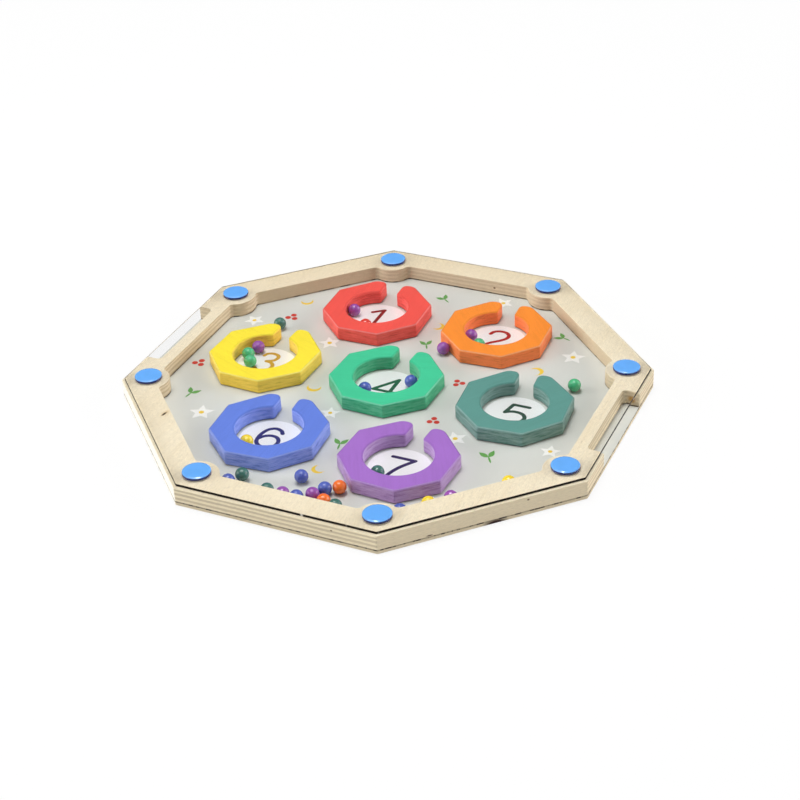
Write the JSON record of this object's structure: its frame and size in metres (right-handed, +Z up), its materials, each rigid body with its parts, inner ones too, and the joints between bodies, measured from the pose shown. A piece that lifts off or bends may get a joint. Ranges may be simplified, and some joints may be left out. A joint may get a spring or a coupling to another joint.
{
  "type": "magnetic maze board",
  "caption": "Octagonal wooden maze board with a clear cover over numbered C-shaped rings and loose coloured balls that a magnet leads from outside.",
  "frame": {"origin": "centre of the base board's underside", "axes": "+Z up through the cover, the octagon's corners on X and Y, -Y towards the player"},
  "size_m": [0.3036, 0.3036, 0.0146],
  "materials": {
    "base_print": "printed plywood, matt",
    "frame_wood": "sanded plywood, clear matt lacquer",
    "cover_clear": "clear polished acrylic",
    "cap_blue": "moulded, satin gloss",
    "screw_steel": "zinc plated",
    "ring_red": "painted wood, satin",
    "ring_orange": "painted wood, satin",
    "ring_yellow": "painted wood, satin",
    "ring_green": "painted wood, satin",
    "ring_teal": "painted wood, satin",
    "ring_blue": "painted wood, satin",
    "ring_purple": "painted wood, satin",
    "ball_purple": "coloured gloss coat on steel",
    "ball_green": "coloured gloss coat on steel",
    "ball_pine": "coloured gloss coat on steel",
    "ball_blue": "coloured gloss coat on steel",
    "ball_orange": "coloured gloss coat on steel",
    "ball_yellow": "coloured gloss coat on steel",
    "ball_red": "coloured gloss coat on steel"
  },
  "bodies": {
    "board": {"base_board": "base_print", "frame": "frame_wood", "cover_sheet": "cover_clear", "corner_caps": "cap_blue", "corner_screws": "screw_steel", "ring_1": "ring_red", "ring_2": "ring_orange", "ring_3": "ring_yellow", "ring_4": "ring_green", "ring_5": "ring_teal", "ring_6": "ring_blue", "ring_7": "ring_purple"},
    "ball_purple_1": {"ball_purple_1": "ball_purple"},
    "ball_red_1": {"ball_red_1": "ball_red"},
    "ball_purple_3": {"ball_purple_3": "ball_purple"},
    "ball_green_1": {"ball_green_1": "ball_green"},
    "ball_purple_4": {"ball_purple_4": "ball_purple"},
    "ball_purple_5": {"ball_purple_5": "ball_purple"},
    "ball_green_2": {"ball_green_2": "ball_green"},
    "ball_green_3": {"ball_green_3": "ball_green"},
    "ball_pine_1": {"ball_pine_1": "ball_pine"},
    "ball_blue_1": {"ball_blue_1": "ball_blue"},
    "ball_blue_2": {"ball_blue_2": "ball_blue"},
    "ball_green_4": {"ball_green_4": "ball_green"},
    "ball_yellow_1": {"ball_yellow_1": "ball_yellow"},
    "ball_pine_2": {"ball_pine_2": "ball_pine"},
    "ball_blue_3": {"ball_blue_3": "ball_blue"},
    "ball_pine_3": {"ball_pine_3": "ball_pine"},
    "ball_pine_4": {"ball_pine_4": "ball_pine"},
    "ball_purple_6": {"ball_purple_6": "ball_purple"},
    "ball_blue_4": {"ball_blue_4": "ball_blue"},
    "ball_purple_7": {"ball_purple_7": "ball_purple"},
    "ball_blue_5": {"ball_blue_5": "ball_blue"},
    "ball_orange_1": {"ball_orange_1": "ball_orange"},
    "ball_orange_2": {"ball_orange_2": "ball_orange"},
    "ball_pine_5": {"ball_pine_5": "ball_pine"},
    "ball_blue_6": {"ball_blue_6": "ball_blue"},
    "ball_blue_7": {"ball_blue_7": "ball_blue"},
    "ball_yellow_2": {"ball_yellow_2": "ball_yellow"},
    "ball_purple_2": {"ball_purple_2": "ball_purple"},
    "ball_yellow_3": {"ball_yellow_3": "ball_yellow"}
  },
  "joints": [
    {"name": "ball_purple_1_roll", "type": "slide", "parent": "board", "child": "ball_purple_1", "axis": [1, 0, 0], "range_m": [0, 0.028]},
    {"name": "ball_red_1_roll", "type": "slide", "parent": "board", "child": "ball_red_1", "axis": [0.866, 0.5, 0], "range_m": [0, 0.02]},
    {"name": "ball_purple_3_roll", "type": "slide", "parent": "board", "child": "ball_purple_3", "axis": [1, 0, 0], "range_m": [0, 0.028]},
    {"name": "ball_green_1_roll", "type": "slide", "parent": "board", "child": "ball_green_1", "axis": [1, 0, 0], "range_m": [0, 0.02]},
    {"name": "ball_purple_4_roll", "type": "slide", "parent": "board", "child": "ball_purple_4", "axis": [0.2588, -0.9659, 0], "range_m": [0, 0.042]},
    {"name": "ball_purple_5_roll", "type": "slide", "parent": "board", "child": "ball_purple_5", "axis": [0.9848, -0.1736, 0], "range_m": [0, 0.016]},
    {"name": "ball_green_2_roll", "type": "slide", "parent": "board", "child": "ball_green_2", "axis": [0.9848, -0.1736, 0], "range_m": [0, 0.025]},
    {"name": "ball_green_3_roll", "type": "slide", "parent": "board", "child": "ball_green_3", "axis": [0.9848, -0.1736, 0], "range_m": [0, 0.021]},
    {"name": "ball_pine_1_roll", "type": "slide", "parent": "board", "child": "ball_pine_1", "axis": [0.866, -0.5, 0], "range_m": [0, 0.055]},
    {"name": "ball_blue_1_roll", "type": "slide", "parent": "board", "child": "ball_blue_1", "axis": [1, 0, 0], "range_m": [0, 0.022]},
    {"name": "ball_blue_2_roll", "type": "slide", "parent": "board", "child": "ball_blue_2", "axis": [-0.7071, 0.7071, 0], "range_m": [0, 0.02]},
    {"name": "ball_green_4_roll", "type": "slide", "parent": "board", "child": "ball_green_4", "axis": [0, 1, 0], "range_m": [0, 0.055]},
    {"name": "ball_yellow_1_roll", "type": "slide", "parent": "board", "child": "ball_yellow_1", "axis": [0.866, 0.5, 0], "range_m": [0, 0.028]},
    {"name": "ball_pine_2_roll", "type": "slide", "parent": "board", "child": "ball_pine_2", "axis": [0.7071, 0.7071, 0], "range_m": [0, 0.028]},
    {"name": "ball_blue_3_roll", "type": "slide", "parent": "board", "child": "ball_blue_3", "axis": [0.9239, -0.3827, 0], "range_m": [0, 0.007]},
    {"name": "ball_pine_3_roll", "type": "slide", "parent": "board", "child": "ball_pine_3", "axis": [0.3827, 0.9239, 0], "range_m": [0, 0.005]},
    {"name": "ball_pine_4_roll", "type": "slide", "parent": "board", "child": "ball_pine_4", "axis": [0.3827, 0.9239, 0], "range_m": [0, 0.016]},
    {"name": "ball_purple_6_roll", "type": "slide", "parent": "board", "child": "ball_purple_6", "axis": [0.1305, 0.9914, 0], "range_m": [0, 0.004]},
    {"name": "ball_blue_4_roll", "type": "slide", "parent": "board", "child": "ball_blue_4", "axis": [0.1305, 0.9914, 0], "range_m": [0, 0.0025]},
    {"name": "ball_purple_7_roll", "type": "slide", "parent": "board", "child": "ball_purple_7", "axis": [-0.2164, -0.9763, 0], "range_m": [0, 0.002]},
    {"name": "ball_blue_5_roll", "type": "slide", "parent": "board", "child": "ball_blue_5", "axis": [-0.2588, 0.9659, 0], "range_m": [0, 0.0125]},
    {"name": "ball_orange_1_roll", "type": "slide", "parent": "board", "child": "ball_orange_1", "axis": [0.6428, 0.766, 0], "range_m": [0, 0.004]},
    {"name": "ball_orange_2_roll", "type": "slide", "parent": "board", "child": "ball_orange_2", "axis": [0.7071, -0.7071, 0], "range_m": [0, 0.007]},
    {"name": "ball_pine_5_roll", "type": "slide", "parent": "board", "child": "ball_pine_5", "axis": [0.9239, 0.3827, 0], "range_m": [0, 0.014]},
    {"name": "ball_blue_6_roll", "type": "slide", "parent": "board", "child": "ball_blue_6", "axis": [0.5, 0.866, 0], "range_m": [0, 0.055]},
    {"name": "ball_blue_7_roll", "type": "slide", "parent": "board", "child": "ball_blue_7", "axis": [-0.7071, 0.7071, 0], "range_m": [0, 0.012]},
    {"name": "ball_yellow_2_roll", "type": "slide", "parent": "board", "child": "ball_yellow_2", "axis": [-0.9659, 0.2588, 0], "range_m": [0, 0.009]},
    {"name": "ball_purple_2_roll", "type": "slide", "parent": "board", "child": "ball_purple_2", "axis": [0.7071, 0.7071, 0], "range_m": [0, 0.055]},
    {"name": "ball_yellow_3_roll", "type": "slide", "parent": "board", "child": "ball_yellow_3", "axis": [0.7071, 0.7071, 0], "range_m": [0, 0.045]}
  ]
}
